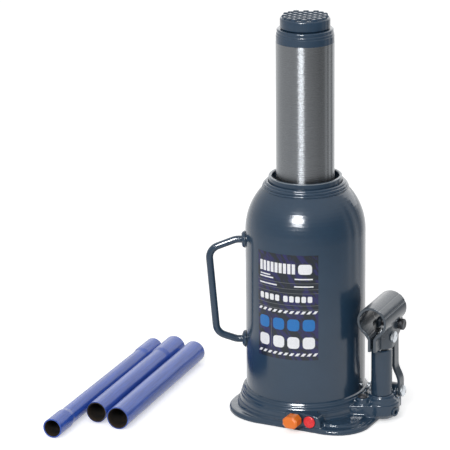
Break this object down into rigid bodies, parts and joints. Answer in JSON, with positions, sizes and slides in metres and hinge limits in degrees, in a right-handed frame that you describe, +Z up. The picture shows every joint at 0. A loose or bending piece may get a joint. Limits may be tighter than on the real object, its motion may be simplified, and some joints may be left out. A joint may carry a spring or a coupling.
{
  "type": "bottle jack",
  "caption": "Hydraulic bottle jack with a round tank, raised ram, screw-out saddle, side pump with lever socket, release knob, carry handle and a sectional pump lever.",
  "frame": {"origin": "on the ram's axis, on the floor under the base", "axes": "+Z up along the ram, +X towards the pump, -Y towards the release knob and the socket's mouth"},
  "size_m": [0.3042, 0.2451, 0.385],
  "materials": {
    "slate_paint": "glossy slate paint over casting and sheet",
    "dark_paint": "glossy dark slate paint",
    "ram_steel": "ground and polished",
    "turned_steel": "machined",
    "blued_steel": "dark, oiled",
    "zinc_plate": "bright zinc plate",
    "dark_pin_steel": "dark, lightly rusted",
    "link_steel": "thin glossy grey paint on plate",
    "ball_steel": "polished",
    "copper": "soft copper",
    "black_rubber": "moulded rubber",
    "seal_amber": "cast polyurethane",
    "orange_knob": "moulded",
    "red_cap": "moulded",
    "blue_paint": "glossy blue paint"
  },
  "bodies": {
    "base": {"base_casting": "slate_paint", "reservoir_tank": "slate_paint", "pressure_cylinder": "dark_paint", "cylinder_gasket": "copper", "tank_foot_seal": "black_rubber", "cylinder_gland_nut": "blued_steel", "ram_wiper": "black_rubber", "filler_plug": "black_rubber", "pump_cylinder": "dark_paint", "pump_gasket": "copper", "plunger_seal": "black_rubber", "delivery_spring": "turned_steel", "delivery_plug": "dark_pin_steel", "feed_plug": "slate_paint", "link_foot_pin": "zinc_plate", "link_foot_nut": "zinc_plate", "overload_spring": "turned_steel", "overload_screw": "turned_steel", "overload_cap": "red_cap", "handle_bosses": "slate_paint", "carry_handle": "slate_paint"},
    "ram": {"ram": "ram_steel", "piston_seal": "seal_amber", "ram_stop_sleeve": "turned_steel"},
    "saddle": {"saddle": "slate_paint"},
    "screw": {"extension_screw": "turned_steel"},
    "plunger": {"plunger": "ram_steel"},
    "link": {"link_left": "link_steel", "link_right": "link_steel"},
    "socket": {"lever_socket": "dark_paint", "plunger_pin": "zinc_plate", "socket_pivot_pin": "dark_pin_steel", "pin_clips": "zinc_plate"},
    "release_ball": {"release_ball": "ball_steel"},
    "release_valve": {"release_spindle": "turned_steel", "release_knob": "orange_knob", "release_seal": "black_rubber"},
    "inlet_ball": {"inlet_check_ball": "ball_steel"},
    "delivery_ball": {"delivery_check_ball": "ball_steel"},
    "overload_ball": {"overload_ball": "ball_steel"},
    "lever_outer": {"lever_section_outer": "blue_paint"},
    "lever_middle": {"lever_section_middle": "blue_paint"},
    "lever_inner": {"lever_section_inner": "blue_paint"}
  },
  "joints": [
    {"name": "ram_slide", "type": "slide", "parent": "base", "child": "ram", "axis": [0, 0, 1], "range_m": [-0.15, 0]},
    {"name": "saddle_lift", "type": "slide", "parent": "ram", "child": "saddle", "axis": [0, 0, 1], "range_m": [0, 0.06]},
    {"name": "screw_turn", "type": "hinge", "parent": "saddle", "child": "screw", "pos_m": [0, 0, 0.3], "axis": [0, 0, 1], "range_deg": [0, 5400]},
    {"name": "link_swing", "type": "hinge", "parent": "base", "child": "link", "pos_m": [0.0795, 0.0175, 0.023], "axis": [1, 0, 0], "range_deg": [0, 0.74]},
    {"name": "socket_swing", "type": "hinge", "parent": "link", "child": "socket", "pos_m": [0.0795, 0.0155, 0.091], "axis": [-1, 0, 0], "range_deg": [0, 60]},
    {"name": "plunger_slide", "type": "slide", "parent": "base", "child": "plunger", "axis": [0, 0, 1], "range_m": [0, 0.0172]},
    {"name": "release_lift", "type": "slide", "parent": "base", "child": "release_ball", "axis": [0, -1, 0], "range_m": [0, 0.00225]},
    {"name": "release_turn", "type": "hinge", "parent": "release_ball", "child": "release_valve", "pos_m": [0.019, -0.05, 0.011], "axis": [0, -1, 0], "range_deg": [0, 540]},
    {"name": "inlet_lift", "type": "slide", "parent": "base", "child": "inlet_ball", "axis": [0, 0, 1], "range_m": [0, 0.0012]},
    {"name": "delivery_lift", "type": "slide", "parent": "base", "child": "delivery_ball", "axis": [0, 0, 1], "range_m": [0, 0.001], "stiffness_N_per_m": 200, "springref_m": -0.002, "deforming": ["delivery_spring"]},
    {"name": "overload_lift", "type": "slide", "parent": "base", "child": "overload_ball", "axis": [0, -1, 0], "range_m": [0, 0.001], "stiffness_N_per_m": 500, "springref_m": -0.002, "deforming": ["overload_spring"]},
    {"name": "lever_outer_lift", "type": "slide", "parent": "base", "child": "lever_outer", "axis": [0, 0, 1], "range_m": [0, 0.15]},
    {"name": "lever_middle_lift", "type": "slide", "parent": "base", "child": "lever_middle", "axis": [0, 0, 1], "range_m": [0, 0.15]},
    {"name": "lever_inner_lift", "type": "slide", "parent": "base", "child": "lever_inner", "axis": [0, 0, 1], "range_m": [0, 0.15]}
  ],
  "couplings": [
    {"joint": "saddle_lift", "follows": "screw_turn", "m_per_rad": 0.0006366},
    {"joint": "link_swing", "follows": "socket_swing", "ratio": 0.01222},
    {"joint": "plunger_slide", "follows": "socket_swing", "m_per_rad": 0.01636},
    {"joint": "release_turn", "follows": "release_lift", "rad_per_m": 4188}
  ]
}
